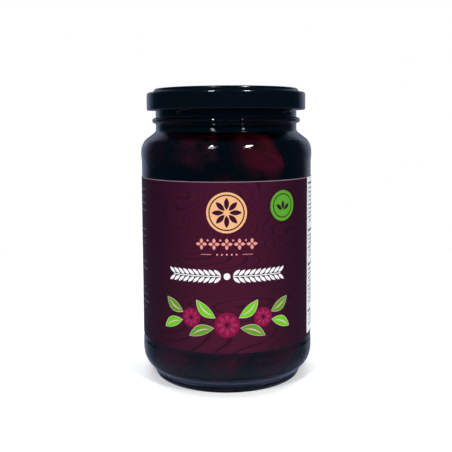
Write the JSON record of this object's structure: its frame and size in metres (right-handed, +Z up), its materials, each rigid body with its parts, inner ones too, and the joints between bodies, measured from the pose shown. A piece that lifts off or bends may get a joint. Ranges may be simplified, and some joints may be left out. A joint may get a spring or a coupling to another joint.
{
  "type": "jar of olives",
  "caption": "Round clear glass jar of dark olives in brine, with a black twist-off steel lid and a printed paper wrap label.",
  "frame": {"origin": "middle of the foot, on the surface that the jar stands on", "axes": "+Z up along the jar's axis, -Y towards the front of the label, +X to the right seen from the front"},
  "size_m": [0.0738, 0.0738, 0.1231],
  "materials": {
    "glass": "clear flint glass, fire polished",
    "lid": "black stoved lacquer on tinplate, glossy",
    "label": "coated paper, printed burgundy, satin",
    "olives": "dark purple olive skin, wet"
  },
  "bodies": {
    "root": {"glass_jar": "glass", "lid": "lid", "label": "label", "olives": "olives"}
  },
  "joints": []
}
